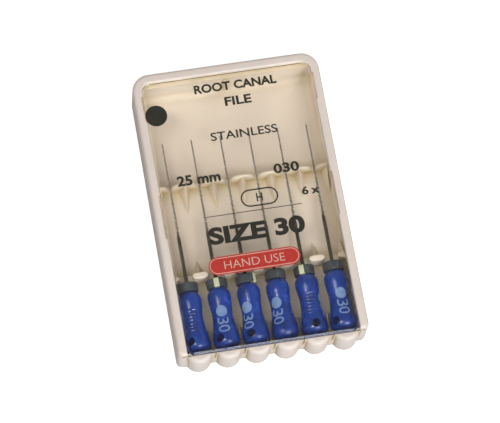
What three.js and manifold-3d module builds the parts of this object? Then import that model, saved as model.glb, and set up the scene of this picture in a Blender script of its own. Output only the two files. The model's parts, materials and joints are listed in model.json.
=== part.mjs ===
// A pack of six size 30 root canal files of the Hedstroem kind, 25 mm long, in a case with a sliding cover.
//
// Millimetres, +Z up. X runs across the case, +Y from the handle end to the tip end.
// The case is drawn with Y = 0 on its handle end face, and the whole pack is then centred on the origin,
// which lies in the middle of the resting face.

import * as THREE from 'three';
import { mergeVertices } from 'three/addons/utils/BufferGeometryUtils.js';
import Module from 'manifold-3d';

// ---------- driving dimensions ----------

const FILE_COUNT = 6;
const FILE_PITCH = 4.65;
const FILE_AXIS_Z = 3.5;

const TRAY_WIDTH = 30.2;
const TRAY_LENGTH = 46.9;
const TRAY_HEIGHT = 7;
const TIP_CORNER_RADIUS = 2.8;
const END_CORNER_RADIUS = 0.6;
const EDGE_BEVEL = 0.35;
const FLOOR_Z = 1.1;
const LEDGE_Z = 5.7;
const LIP_Z = 6.35;
const CAVITY_HALF_WIDTH = 14;
const GROOVE_HALF_WIDTH = 14.45;
const LIP_HALF_WIDTH = 13.65;
const LIP_NOTCH_HALF_WIDTH = 13.93;
const LIP_NOTCHES = [[19.1, 26.4], [38.7, 43.2]];
const RECESS_END = 45.4;
const RECESS_CORNER_RADIUS = 1.5;
const CAVITY_START = 0.5;
const CAVITY_END = 44.7;
const TIP_RIB_START = 44.2;
const TIP_RIB_WIDTH = 0.56;
const TIP_RIB_TOP_Z = 5.2;

const BULGE_DEPTH = 1.15;
const BULGE_HALF_CHORD = 1.85;

const CRADLE_RADIUS = 2.3;
const CRADLE_END = 4.5;
const CRADLE_TOP_Z = 2.6;

const PLATEAU_Z = 1.5;
const PLATEAU_START = 12.9;
const PLATEAU_END = 29.05;

const STOPPER_COMB_START = 12.75;
const STOPPER_COMB_END = 13.75;
const STOPPER_COMB_TOP_Z = 4.2;
const STOPPER_COMB_NOTCH_Z = 2.95;
const POST_WIDTH = 2.5;
const POST_CORNER_RADIUS = 0.5;
const POST_FIN_END = 16.7;

const TIP_COMB_START = 28.35;
const TIP_COMB_NOTCH_Z = 2.2;
const TOOTH_WIDTH = 3.9;
const TOOTH_TOP_Z = 3.9;
const TOOTH_FIN_TOP_Z = 3.7;
const TOOTH_FIN_END = 24.3;
const FIN_WIDTH = 1.6;

const COVER_GAP = 0.15;
const COVER_TONGUE_HALF_WIDTH = 14.3;
const COVER_TONGUE_TOP_Z = 6.2;
const COVER_TOP_Z = 6.9;
const COVER_END_CORNER_RADIUS = 1.1;

const HANDLE_TOP_Y = 10.65;
const HANDLE_LENGTH = 9.65;
const HANDLE_BORE_RADIUS = 0.46;
const HANDLE_BORE_DEPTH = 6.9;
const HANDLE_HOLE_RADIUS = 0.7;
const HANDLE_HOLE_FROM_TOP = 8;
const HANDLE_SIDES = 18;

const SHANK_RADIUS = 0.35;
const TANG_LENGTH = 6.7;
const BLADE_LENGTH = 25.45;
const FLUTE_LENGTH = 16;
const FLUTE_COUNT = 12;
const FLUTE_CORE = 0.62;
const TIP_RADIUS = 0.15;
const FLUTE_TAPER = 0.02;
const SHAFT_SIDES = 8;

const STOPPER_RADIUS = 1.66;
const STOPPER_BORE_RADIUS = 0.46;
const STOPPER_LENGTH = 1.45;
const STOPPER_GAP = 0.12;
const STOPPER_EDGE = 0.18;

// How far each file has rolled in its cradle, in degrees about +Y, from the left of the case to the right.
const FILE_ROLLS = [-38, -34, -26, 28, -7, -33];

// ---------- materials ----------

const ivoryPlastic = () => new THREE.MeshStandardMaterial({ color: 0xded2c4, roughness: 0.55 });
const bluePlastic = () => new THREE.MeshStandardMaterial({ color: 0x1c3f96, roughness: 0.25, metalness: 0 });
const steel = () => new THREE.MeshStandardMaterial({ color: 0x8d8a84, roughness: 0.35, metalness: 1 });
const greySilicone = () => new THREE.MeshStandardMaterial({ color: 0x3d4149, roughness: 0.7, metalness: 0 });
const clearPlastic = () => new THREE.MeshStandardMaterial({
  color: 0xf3f1ec,
  roughness: 0.08,
  metalness: 0,
  transparent: true,
  opacity: 0.25,
});

// ---------- solids ----------

const wasm = await Module();
wasm.setup();

function toSolid(geometry) {
  const bare = geometry.clone();
  bare.deleteAttribute('normal');
  bare.deleteAttribute('uv');
  const merged = mergeVertices(bare, 1e-4);
  return new wasm.Manifold(new wasm.Mesh({
    numProp: 3,
    vertProperties: new Float32Array(merged.attributes.position.array),
    triVerts: new Uint32Array(merged.index.array),
  }));
}

function toGeometry(solid) {
  const mesh = solid.getMesh();
  const geometry = new THREE.BufferGeometry();
  geometry.setAttribute('position', new THREE.BufferAttribute(new Float32Array(mesh.vertProperties), 3));
  geometry.setIndex(new THREE.BufferAttribute(new Uint32Array(mesh.triVerts), 1));
  geometry.computeVertexNormals();
  return geometry;
}

const join = (solids) => solids.reduce((whole, piece) => whole.add(piece));
const cut = (solid, cutters) => cutters.reduce((rest, cutter) => rest.subtract(cutter), solid);

// A plan outline standing on low and reaching high, with an optional bevel at both ends inside that height.
function plate(outline, low, high, bevel = 0) {
  const geometry = new THREE.ExtrudeGeometry(outline, {
    depth: high - low - 2 * bevel,
    curveSegments: 6,
    bevelEnabled: bevel > 0,
    bevelSize: bevel,
    bevelThickness: bevel,
    bevelOffset: -bevel,
    bevelSegments: 2,
  });
  geometry.translate(0, 0, low + bevel);
  return toSolid(geometry);
}

// An outline drawn in X and Z, running along Y from start to end.
function bar(outline, start, end) {
  const options = { depth: end - start, curveSegments: 6, bevelEnabled: false };
  const geometry = new THREE.ExtrudeGeometry(outline, options);
  geometry.rotateX(Math.PI / 2);
  geometry.translate(0, end, 0);
  return toSolid(geometry);
}

// A triangular fin in the Y and Z plane, centred on x: tall at tallY and sloping down to the floor at lowY.
function fin(x, tallY, lowY, topZ) {
  const outline = new THREE.Shape([
    new THREE.Vector2(tallY, FLOOR_Z),
    new THREE.Vector2(lowY, FLOOR_Z),
    new THREE.Vector2(tallY, topZ),
  ]);
  const geometry = new THREE.ExtrudeGeometry(outline, { depth: FIN_WIDTH, bevelEnabled: false });
  geometry.rotateY(Math.PI / 2);
  geometry.rotateX(Math.PI / 2);
  geometry.translate(x - FIN_WIDTH / 2, 0, 0);
  return toSolid(geometry);
}

// A rectangle with its own corner radius at the handle end and at the tip end.
function panelOutline(halfWidth, start, end, startRadius, endRadius) {
  const shape = new THREE.Shape();
  shape.moveTo(-halfWidth + startRadius, start);
  shape.lineTo(halfWidth - startRadius, start);
  shape.absarc(halfWidth - startRadius, start + startRadius, startRadius, -Math.PI / 2, 0, false);
  shape.lineTo(halfWidth, end - endRadius);
  shape.absarc(halfWidth - endRadius, end - endRadius, endRadius, 0, Math.PI / 2, false);
  shape.lineTo(-halfWidth + endRadius, end);
  shape.absarc(-halfWidth + endRadius, end - endRadius, endRadius, Math.PI / 2, Math.PI, false);
  shape.lineTo(-halfWidth, start + startRadius);
  shape.absarc(-halfWidth + startRadius, start + startRadius, startRadius, Math.PI, 1.5 * Math.PI, false);
  return shape;
}

// A plain block from -halfWidth to halfWidth, start to end and low to high.
function box(halfWidth, start, end, low, high) {
  const geometry = new THREE.BoxGeometry(2 * halfWidth, end - start, high - low);
  geometry.translate(0, (start + end) / 2, (low + high) / 2);
  return toSolid(geometry);
}

const fileX = (index) => (index - (FILE_COUNT - 1) / 2) * FILE_PITCH;
const fileIndexes = Array.from({ length: FILE_COUNT }, (_, index) => index);

// The middle of each gap between two files.
const gapXs = fileIndexes.slice(1).map((index) => fileX(index) - FILE_PITCH / 2);

// ---------- tray ----------

// One of the six round swellings on the handle end face.
function bulge(x) {
  const radius = (BULGE_HALF_CHORD ** 2 + BULGE_DEPTH ** 2) / (2 * BULGE_DEPTH);
  const centreY = radius - BULGE_DEPTH;
  const halfAngle = Math.asin(BULGE_HALF_CHORD / radius);
  const outline = new THREE.Shape();
  outline.moveTo(x - BULGE_HALF_CHORD, CAVITY_START / 2);
  outline.absarc(x, centreY, radius, -Math.PI / 2 - halfAngle, -Math.PI / 2 + halfAngle, false);
  outline.lineTo(x + BULGE_HALF_CHORD, CAVITY_START / 2);
  return plate(outline, 0, LEDGE_Z);
}

// The wall across the tray that the shafts pass through, with a notch for each shaft.
function stopperComb() {
  const outline = new THREE.Shape();
  const postRight = (index) => fileX(index) - (FILE_PITCH - POST_WIDTH) / 2;
  const postLeft = (index) => fileX(index) + (FILE_PITCH - POST_WIDTH) / 2;
  const shoulderZ = STOPPER_COMB_TOP_Z - POST_CORNER_RADIUS;
  outline.moveTo(-CAVITY_HALF_WIDTH - 0.2, FLOOR_Z / 2);
  outline.lineTo(-CAVITY_HALF_WIDTH - 0.2, STOPPER_COMB_TOP_Z);
  for (const index of fileIndexes) {
    const right = postRight(index) - POST_CORNER_RADIUS;
    const left = postLeft(index) + POST_CORNER_RADIUS;
    outline.lineTo(right, STOPPER_COMB_TOP_Z);
    outline.absarc(right, shoulderZ, POST_CORNER_RADIUS, Math.PI / 2, 0, true);
    outline.lineTo(postRight(index), STOPPER_COMB_NOTCH_Z);
    outline.lineTo(postLeft(index), STOPPER_COMB_NOTCH_Z);
    outline.absarc(left, shoulderZ, POST_CORNER_RADIUS, Math.PI, Math.PI / 2, true);
  }
  outline.lineTo(CAVITY_HALF_WIDTH + 0.2, STOPPER_COMB_TOP_Z);
  outline.lineTo(CAVITY_HALF_WIDTH + 0.2, FLOOR_Z / 2);
  return bar(outline, STOPPER_COMB_START, STOPPER_COMB_END);
}

// The wall at the tip end of the plateau, with an arched tooth between neighbouring blades.
function tipComb() {
  const reach = CAVITY_HALF_WIDTH + 0.1;
  const rise = TOOTH_TOP_Z - TIP_COMB_NOTCH_Z;
  const outline = new THREE.Shape();
  outline.moveTo(-reach, FLOOR_Z / 2);
  outline.lineTo(-reach, TIP_COMB_NOTCH_Z);
  for (const x of gapXs) {
    outline.lineTo(x - TOOTH_WIDTH / 2, TIP_COMB_NOTCH_Z);
    outline.absellipse(x, TIP_COMB_NOTCH_Z, TOOTH_WIDTH / 2, rise, Math.PI, 0, true);
  }
  outline.lineTo(reach, TIP_COMB_NOTCH_Z);
  outline.lineTo(reach, FLOOR_Z / 2);
  return bar(outline, TIP_COMB_START, PLATEAU_END);
}

// The half round troughs that the handles lie in, with a low ridge left between neighbours.
function cradles() {
  const block = box(CAVITY_HALF_WIDTH + 0.1, CAVITY_START / 2, CRADLE_END, FLOOR_Z / 2, CRADLE_TOP_Z);
  const troughs = fileIndexes.map((index) => {
    const trough = new THREE.CylinderGeometry(CRADLE_RADIUS, CRADLE_RADIUS, CRADLE_END, 20);
    trough.translate(fileX(index), CAVITY_START + CRADLE_END / 2, FILE_AXIS_Z);
    return toSolid(trough);
  });
  return cut(block, troughs);
}

function trayShell() {
  const outer = plate(
    panelOutline(TRAY_WIDTH / 2, 0, TRAY_LENGTH, END_CORNER_RADIUS, TIP_CORNER_RADIUS),
    0, TRAY_HEIGHT, EDGE_BEVEL);
  const past = -BULGE_DEPTH - 1;
  const over = TRAY_HEIGHT + 1;
  const radius = RECESS_CORNER_RADIUS;
  const recess = plate(panelOutline(LIP_HALF_WIDTH, past, RECESS_END, 0.01, radius), LEDGE_Z, over);
  const groove = plate(panelOutline(GROOVE_HALF_WIDTH, past, RECESS_END, 0.01, radius), LEDGE_Z, LIP_Z);
  const hollow = panelOutline(CAVITY_HALF_WIDTH, CAVITY_START, CAVITY_END, 0.5, 1);
  const cavity = plate(hollow, FLOOR_Z, LEDGE_Z + 0.1);
  const notches = LIP_NOTCHES.map(([start, end]) => box(LIP_NOTCH_HALF_WIDTH, start, end, LIP_Z - 0.1, over));
  return cut(outer, [recess, groove, cavity, ...notches]);
}

function trayGeometry() {
  const wallFinX = CAVITY_HALF_WIDTH - FIN_WIDTH / 2;
  const finXs = [-wallFinX, ...gapXs, wallFinX];
  return toGeometry(join([
    trayShell(),
    ...fileIndexes.map((index) => bulge(fileX(index))),
    cradles(),
    box(CAVITY_HALF_WIDTH + 0.1, PLATEAU_START, PLATEAU_END, FLOOR_Z / 2, PLATEAU_Z),
    stopperComb(),
    box(TIP_RIB_WIDTH / 2, TIP_RIB_START, CAVITY_END + 0.1, FLOOR_Z / 2, TIP_RIB_TOP_Z),
    tipComb(),
    ...finXs.map((x) => fin(x, STOPPER_COMB_END - 0.1, POST_FIN_END, STOPPER_COMB_NOTCH_Z)),
    ...finXs.map((x) => fin(x, TIP_COMB_START + 0.3, TOOTH_FIN_END, TOOTH_FIN_TOP_Z)),
  ]));
}

// ---------- cover ----------

// A flat plate flush with the tray's lips, with a thin tongue along each side that runs in the tray's groove.
function coverGeometry() {
  const end = RECESS_END - COVER_GAP;
  const low = LEDGE_Z + COVER_GAP;
  const radius = COVER_END_CORNER_RADIUS;
  const tongue = plate(
    panelOutline(COVER_TONGUE_HALF_WIDTH, 0, end, radius, RECESS_CORNER_RADIUS), low, COVER_TONGUE_TOP_Z);
  const middle = plate(
    panelOutline(LIP_HALF_WIDTH - COVER_GAP, 0, end, radius, RECESS_CORNER_RADIUS), low, COVER_TOP_Z);
  return toGeometry(tongue.add(middle));
}

// ---------- files ----------

// Each file is drawn about its own axis, Y, with Y = 0 on the face of the handle that meets the stopper.

// The handle's outside, as [distance down from the top face, radius].
const handleProfile = [
  [HANDLE_LENGTH, 1.45],
  [HANDLE_LENGTH - 0.28, 1.88],
  [HANDLE_LENGTH - 0.75, 2.12],
  [8.15, 2.08],
  [7.15, 1.94],
  [5.95, 1.74],
  [4.75, 1.62],
  [3.65, 1.62],
  [2.4, 1.78],
  [1.4, 1.86],
  [0.8, 1.78],
  [0.3, 1.54],
  [0, 1.3],
];

function handleGeometry() {
  const profile = [
    new THREE.Vector2(0, -HANDLE_LENGTH),
    ...handleProfile.map(([depth, radius]) => new THREE.Vector2(radius, -depth)),
    new THREE.Vector2(HANDLE_BORE_RADIUS, 0),
    new THREE.Vector2(HANDLE_BORE_RADIUS, -HANDLE_BORE_DEPTH),
    new THREE.Vector2(0, -HANDLE_BORE_DEPTH),
  ];
  const hole = new THREE.CylinderGeometry(HANDLE_HOLE_RADIUS, HANDLE_HOLE_RADIUS, 6, 12);
  hole.rotateX(Math.PI / 2);
  hole.translate(0, -HANDLE_HOLE_FROM_TOP, 0);
  const solid = toSolid(new THREE.LatheGeometry(profile, HANDLE_SIDES)).subtract(toSolid(hole));
  return toGeometry(solid);
}

// The shaft with its tang in the handle: a plain shank, then cones cut one above the other down to the tip.
function shaftGeometry() {
  const fluteStart = BLADE_LENGTH - FLUTE_LENGTH;
  const pitch = FLUTE_LENGTH / FLUTE_COUNT;
  const profile = [
    new THREE.Vector2(0, -TANG_LENGTH),
    new THREE.Vector2(SHANK_RADIUS, -TANG_LENGTH),
    new THREE.Vector2(SHANK_RADIUS, fluteStart - 0.5),
  ];
  for (let flute = 0; flute < FLUTE_COUNT; flute += 1) {
    const base = fluteStart + flute * pitch;
    const radius = TIP_RADIUS + (BLADE_LENGTH - base) * FLUTE_TAPER / 2;
    profile.push(new THREE.Vector2(radius * FLUTE_CORE, base));
    profile.push(new THREE.Vector2(radius, base + 0.15 * pitch));
  }
  profile.push(new THREE.Vector2(TIP_RADIUS * FLUTE_CORE, BLADE_LENGTH - 0.25));
  profile.push(new THREE.Vector2(0, BLADE_LENGTH));
  return toGeometry(toSolid(new THREE.LatheGeometry(profile, SHAFT_SIDES)));
}

// The silicone disc that marks the working length, close against the handle.
function stopperGeometry() {
  const low = STOPPER_GAP;
  const high = STOPPER_GAP + STOPPER_LENGTH;
  const profile = [
    new THREE.Vector2(STOPPER_BORE_RADIUS, low),
    new THREE.Vector2(STOPPER_RADIUS - STOPPER_EDGE, low),
    new THREE.Vector2(STOPPER_RADIUS, low + STOPPER_EDGE),
    new THREE.Vector2(STOPPER_RADIUS, high - STOPPER_EDGE),
    new THREE.Vector2(STOPPER_RADIUS - STOPPER_EDGE, high),
    new THREE.Vector2(STOPPER_BORE_RADIUS, high),
    new THREE.Vector2(STOPPER_BORE_RADIUS, low),
  ];
  return toGeometry(toSolid(new THREE.LatheGeometry(profile, HANDLE_SIDES)));
}

// ---------- assembly ----------

function named(name, geometry, material) {
  const mesh = new THREE.Mesh(geometry, material);
  mesh.name = name;
  return mesh;
}

function fileGroup(index) {
  const group = new THREE.Group();
  const number = index + 1;
  group.add(named(`handle_${number}`, handleGeometry(), bluePlastic()));
  group.add(named(`shaft_${number}`, shaftGeometry(), steel()));
  group.add(named(`stopper_${number}`, stopperGeometry(), greySilicone()));
  group.position.set(fileX(index), HANDLE_TOP_Y, FILE_AXIS_Z);
  group.rotation.y = THREE.MathUtils.degToRad(FILE_ROLLS[index]);
  return group;
}

const contents = new THREE.Group();
contents.position.y = -(TRAY_LENGTH - BULGE_DEPTH) / 2;
contents.add(named('tray', trayGeometry(), ivoryPlastic()));
contents.add(named('cover', coverGeometry(), clearPlastic()));
for (const index of fileIndexes) {
  contents.add(fileGroup(index));
}

const filePack = new THREE.Group();
filePack.add(contents);

export default filePack;
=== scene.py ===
# A pack of six size 30 root canal files of the Hedstroem kind, 25 mm long, in a case with a sliding cover.
#
# Shapes are drawn in millimetres in the case's own frame: x runs across the case, d from its handle end
# face to the tip end, and z up from the face that it rests on. A file is drawn about its own axis: s runs
# from the face of the handle that meets the stopper towards the tip. into_frame() turns both into the
# frame's metres.

import json
import math

import bmesh
import bpy
from mathutils import Matrix, Vector


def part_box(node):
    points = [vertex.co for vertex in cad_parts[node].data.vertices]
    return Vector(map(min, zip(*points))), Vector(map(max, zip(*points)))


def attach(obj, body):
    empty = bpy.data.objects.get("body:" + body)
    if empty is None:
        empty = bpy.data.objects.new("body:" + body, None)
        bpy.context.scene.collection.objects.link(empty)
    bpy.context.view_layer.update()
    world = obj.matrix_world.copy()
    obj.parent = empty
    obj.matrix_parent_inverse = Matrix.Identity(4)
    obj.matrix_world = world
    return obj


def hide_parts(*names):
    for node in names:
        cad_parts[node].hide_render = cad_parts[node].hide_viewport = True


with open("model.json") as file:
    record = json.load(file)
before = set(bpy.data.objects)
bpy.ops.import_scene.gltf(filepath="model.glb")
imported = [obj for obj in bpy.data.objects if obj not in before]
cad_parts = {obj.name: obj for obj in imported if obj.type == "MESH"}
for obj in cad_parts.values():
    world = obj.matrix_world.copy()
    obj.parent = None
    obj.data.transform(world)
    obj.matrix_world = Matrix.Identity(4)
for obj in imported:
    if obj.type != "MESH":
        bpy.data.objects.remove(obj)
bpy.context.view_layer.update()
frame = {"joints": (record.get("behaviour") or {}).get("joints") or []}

MM = 0.001
TAU = 2 * math.pi

# ---------- the frame's places ----------

tray_low, tray_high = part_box("tray")
BULGE_DEPTH = 1.15
TRAY_HALF_WIDTH = tray_high.x / MM
TRAY_HEIGHT = tray_high.z / MM
TRAY_LENGTH = (tray_high.y - tray_low.y) / MM - BULGE_DEPTH
HANDLE_END_Y = tray_low.y / MM + BULGE_DEPTH

FILE_NUMBERS = range(1, 7)
roll_joints = {joint["name"]: joint for joint in frame["joints"]}
FILE_AXES = {n: Vector(roll_joints[f"file_{n}_roll"]["pos_m"]) / MM for n in FILE_NUMBERS}
FILE_PITCH = FILE_AXES[2].x - FILE_AXES[1].x
FILE_AXIS_Z = FILE_AXES[1].z
GAP_XS = [(FILE_AXES[n].x + FILE_AXES[n + 1].x) / 2 for n in FILE_NUMBERS if n < 6]
POST_XS = [GAP_XS[0] - FILE_PITCH, *GAP_XS, GAP_XS[-1] + FILE_PITCH]

# ---------- the case ----------

TIP_CORNER_RADIUS = 2.8
END_CORNER_RADIUS = 0.9
SHARP_CORNER_RADIUS = 0.02
TOP_FILLET = 0.6
FOOT_FILLET = 0.15
DRAFT = 0.03
FLOOR_Z = 1.1
FLOOR_FILLET = 1.2
LEDGE_Z = 5.7
LIP_Z = 6.35
LIP_FLARE = 0.12
CAVITY_HALF_WIDTH = 14
CAVITY_START_RADIUS = 0.5
CAVITY_END_RADIUS = 1
INNER_HALF_WIDTH = CAVITY_HALF_WIDTH + 0.2
# Inner walls start inside the floor, so that they join it.
EMBED_Z = FLOOR_Z / 2
GROOVE_HALF_WIDTH = 14.45
LIP_HALF_WIDTH = 13.65
NOTCH_HALF_WIDTH = 13.93
LIP_NOTCHES = [(19.1, 26.4), (38.7, 43.2)]
RECESS_END = 45.4
RECESS_CORNER_RADIUS = 1.5
CAVITY_START = 0.5
CAVITY_END = 44.7
BULGE_HALF_CHORD = 1.85
BULGE_TOP_FILLET = 0.7
VALLEY_HALF_WIDTH = 0.36
VALLEY_DEPTH = 0.36
VALLEY_LOW_Z = 2.3
VALLEY_RISE = 1.2
END_VALLEY_SIZE = 0.4

CRADLE_RADIUS = 2.3
CRADLE_END = 4.5
CRADLE_TOP_Z = 3.3
CRADLE_SOFTNESS = 0.14
PLATEAU_Z = 1.5
PLATEAU_START = 12.9
PLATEAU_END = 29.05
PLATEAU_EDGE = 0.15
COMB_START = 12.75
COMB_END = 13.75
COMB_EDGE = 0.2
COMB_NOTCH_Z = 2.95
POST_TOP_Z = 4.2
POST_HALF_WIDTH = 1.25
POST_HALF_DEPTH = 0.5
POST_FILLET = 0.18
POST_FIN_START = COMB_END - 0.15
POST_FIN_END = 16.7
POST_FIN_TOP_Z = 3.7
POST_FIN_WIDTH = 1.8
TIP_COMB_START = 28.35
TIP_COMB_END = 28.92
TIP_COMB_NOTCH_Z = 2.2
TOOTH_HALF_WIDTH = 2.05
TOOTH_TOP_Z = 3.9
TOOTH_FIN_TOP_Z = 3.75
TOOTH_FIN_START = TIP_COMB_START + 0.2
TOOTH_FIN_END = 24.3
TOOTH_FIN_WIDTH = 1.9
FIN_REACH_X = CAVITY_HALF_WIDTH - 0.3
WALL_EMBED_X = 14.6
TIP_RIB_HALF_WIDTH = 0.3
TIP_RIB_DEPTH = 0.6
EJECTOR_MARK_RADIUS = 1.5
EJECTOR_MARK_DEPTH = 0.08
EJECTOR_MARK_XS = (-10, 10)
EJECTOR_MARK_DS = (8, 38)

# ---------- the cover ----------

cover_low, cover_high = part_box("cover")
COVER_LOW_Z = cover_low.z / MM
COVER_TOP_Z = cover_high.z / MM
COVER_HALF_WIDTH = 13.5
TONGUE_HALF_WIDTH = cover_high.x / MM
TONGUE_TOP_Z = 6.2
COVER_END = cover_high.y / MM - HANDLE_END_Y
COVER_CORNER_RADIUS = 1.1
COVER_EDGE = 0.12
COVER_END_EDGE = 0.22
INK_TOP_Z = COVER_TOP_Z + 0.03
LIGHT_INK_TOP_Z = INK_TOP_Z + 0.015

# ---------- the files ----------

HANDLE_LENGTH = 9.65
HANDLE_HOLE_RADIUS = 0.7
HANDLE_HOLE_S = -8.2
HANDLE_BORE_RADIUS = 0.46
HANDLE_BORE_DEPTH = 6.9
RIB_SPACING = 0.56
RIB_HEIGHT = 0.07
RIBS_FROM = -6.65
RIBS_TO = -2.75
RIB_HALF_SPREAD = 34
MARK_PROUD = 0.018
MARK_SUNK = 0.03

SHANK_RADIUS = 0.29
TANG_LENGTH = 6.7
BLADE_LENGTH = 25.45
FLUTE_START = 9.45
FLUTE_CORE = 0.5
TIP_RADIUS = 0.15
RADIUS_TAPER = 0.0075

STOPPER_RADIUS = 1.66
STOPPER_BORE_RADIUS = 0.46
STOPPER_START = 0.12
STOPPER_END = 1.57
STOPPER_EDGE = 0.18
STOPPER_WAIST = 0.015
STRIPE_HALF_WIDTH = 0.4
STRIPE_PROUD = 0.012
STRIPE_INNER_RADIUS = 0.75

# How far each hole, print and stripe has turned about its file's axis, in degrees from straight up
# towards +X.
HOLE_ROLLS = {1: -33, 2: -34, 3: -26, 4: 72, 5: 3, 6: -45}
PRINT_ROLLS = {1: -98, 2: -6, 3: -33, 4: -30, 5: 84, 6: 8}
STRIPE_ROLLS = {1: 150, 2: -6, 3: 53, 4: 170, 5: -21, 6: -140}


# ---------- mesh helpers ----------

def new_object(name, mesh):
    obj = bpy.data.objects.new(name, mesh)
    bpy.context.scene.collection.objects.link(obj)
    return obj


def finish_bmesh(name, bm):
    """An object from bm, with doubled points merged and its faces pointing out."""
    bmesh.ops.remove_doubles(bm, verts=bm.verts, dist=1e-5)
    bmesh.ops.dissolve_degenerate(bm, edges=bm.edges, dist=1e-6)
    bmesh.ops.recalc_face_normals(bm, faces=bm.faces)
    mesh = bpy.data.meshes.new(name)
    bm.to_mesh(mesh)
    bm.free()
    return new_object(name, mesh)


def loft(name, rings, caps=True):
    """A skin over rings of points, all with as many points, closed at both ends if caps is set."""
    bm = bmesh.new()
    rows = [[bm.verts.new(point) for point in ring] for ring in rings]
    count = len(rows[0])
    for row, following in zip(rows, rows[1:]):
        for k in range(count):
            after = (k + 1) % count
            bm.faces.new((row[k], row[after], following[after], following[k]))
    if caps:
        bm.faces.new(list(reversed(rows[0])))
        bm.faces.new(rows[-1])
    return finish_bmesh(name, bm)


def revolve(name, profile, sides):
    """A closed (s, radius) profile turned about the file's axis, which is Y."""
    rings = []
    for s, radius in profile:
        angles = [TAU * k / sides for k in range(sides)]
        rings.append([(radius * math.sin(a), s, radius * math.cos(a)) for a in angles])
    return loft(name, rings, caps=False)


def evaluated(obj):
    """obj with its modifiers applied to its mesh."""
    depsgraph = bpy.context.evaluated_depsgraph_get()
    mesh = bpy.data.meshes.new_from_object(obj.evaluated_get(depsgraph))
    old = obj.data
    obj.modifiers.clear()
    obj.data = mesh
    bpy.data.meshes.remove(old)
    return obj


def combine(base, others, operation):
    """base joined with others (UNION) or cut by them (DIFFERENCE), one after another."""
    for other in others:
        modifier = base.modifiers.new("combine", "BOOLEAN")
        modifier.operation = operation
        modifier.solver = "EXACT"
        modifier.object = other
    evaluated(base)
    for other in others:
        bpy.data.objects.remove(other)
    return base


def shade(obj, angle=32):
    obj.data.shade_smooth()
    obj.data.set_sharp_from_angle(angle=math.radians(angle))
    return obj


def bounds_of(obj):
    points = [v.co for v in obj.data.vertices]
    low = Vector([min(p[k] for p in points) for k in range(3)])
    high = Vector([max(p[k] for p in points) for k in range(3)])
    return low, high


def into_frame(obj, origin=(0, 0, 0), roll=0):
    """Takes obj from millimetres about origin, rolled about +Y, to metres in the frame."""
    turn = Matrix.Rotation(math.radians(roll), 4, "Y")
    move = Matrix.Translation(Vector(origin))
    obj.data.transform(Matrix.Scale(MM, 4) @ move @ turn)
    return obj


def on_case(obj):
    return into_frame(obj, (0, HANDLE_END_Y, 0))


def on_file(obj, number, roll=0):
    return into_frame(obj, FILE_AXES[number], roll)


def finished(obj, body, material, replaces=None):
    """Gives obj its material and its place in the frame's table."""
    obj.data.materials.clear()
    obj.data.materials.append(material)
    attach(obj, body)
    if replaces:
        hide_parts(replaces)
    return obj


def quarter(steps):
    """Angles from 0 to 90 degrees, in radians."""
    return [math.pi / 2 * k / steps for k in range(steps + 1)]


# ---------- outlines ----------

def panel(half_width, start, end, start_radius, end_radius, z, inset=0, steps=8):
    """A rectangle's outline at height z, with its own corner radius at each end, drawn in by inset."""
    start_radius = max(start_radius - inset, SHARP_CORNER_RADIUS)
    end_radius = max(end_radius - inset, SHARP_CORNER_RADIUS)
    x = half_width - inset
    corners = [
        (x - start_radius, start + inset + start_radius, start_radius, -90),
        (x - end_radius, end - inset - end_radius, end_radius, 0),
        (-x + end_radius, end - inset - end_radius, end_radius, 90),
        (-x + start_radius, start + inset + start_radius, start_radius, 180),
    ]
    points = []
    for centre_x, centre_d, radius, first in corners:
        for k in range(steps + 1):
            angle = math.radians(first + 90 * k / steps)
            points.append((centre_x + radius * math.cos(angle), centre_d + radius * math.sin(angle), z))
    return points


def fillet_levels(top_z, radius, steps=5):
    """(height, inset) pairs that round an edge at top_z, from the side up to the top."""
    return [(top_z - radius * (1 - math.sin(a)), radius * (1 - math.cos(a))) for a in quarter(steps)]


def foot_levels(low_z, radius, steps=3):
    """(height, inset) pairs that round an edge at low_z, from the bottom up to the side."""
    return [(low_z + radius * (1 - math.cos(a)), radius * (1 - math.sin(a))) for a in quarter(steps)]


# ---------- the tray ----------

def tray_block():
    levels = [(z, inset + DRAFT) for z, inset in foot_levels(0, FOOT_FILLET)]
    levels += fillet_levels(TRAY_HEIGHT, TOP_FILLET)
    return loft("tray_body", [
        panel(TRAY_HALF_WIDTH, 0, TRAY_LENGTH, END_CORNER_RADIUS, TIP_CORNER_RADIUS, z, inset)
        for z, inset in levels])


def bulge(x):
    """One of the round swellings on the handle end face, with rounded top and bottom edges."""
    radius = (BULGE_HALF_CHORD ** 2 + BULGE_DEPTH ** 2) / (2 * BULGE_DEPTH)
    half_angle = math.asin(BULGE_HALF_CHORD / radius)
    steps = 14
    rings = []
    for z, inset in foot_levels(0, FOOT_FILLET) + fillet_levels(LEDGE_Z, BULGE_TOP_FILLET):
        ring = []
        for k in range(steps + 1):
            angle = -math.pi / 2 + half_angle * (2 * k / steps - 1)
            ring.append((
                x + (radius - inset) * math.cos(angle),
                radius - BULGE_DEPTH + (radius - inset) * math.sin(angle), z))
        side_x = ring[-1][0] - x
        ring += [(x + side_x, CAVITY_START / 2, z), (x - side_x, CAVITY_START / 2, z)]
        rings.append(ring)
    return loft("bulge", rings)


def block(name, half_width, start, end, low, high):
    """A box with square corners, from low to high in z."""
    return loft(name, [panel(half_width, start, end, 0, 0, z, steps=1) for z in (low, high)])


def valley(x, size=1):
    """The slot between two bulges, which deepens and widens from its foot up to the cover."""
    half_width = VALLEY_HALF_WIDTH * size
    depth = VALLEY_DEPTH * size
    sections = [
        (VALLEY_LOW_Z, 0.05, 0.01),
        (VALLEY_LOW_Z + VALLEY_RISE, half_width, depth * 0.8),
        (LEDGE_Z + 0.1, half_width, depth),
    ]
    return loft("valley", [
        [(x - half, -0.2, z), (x + half, -0.2, z), (x + half * 0.6, d, z), (x - half * 0.6, d, z)]
        for z, half, d in sections])


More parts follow.
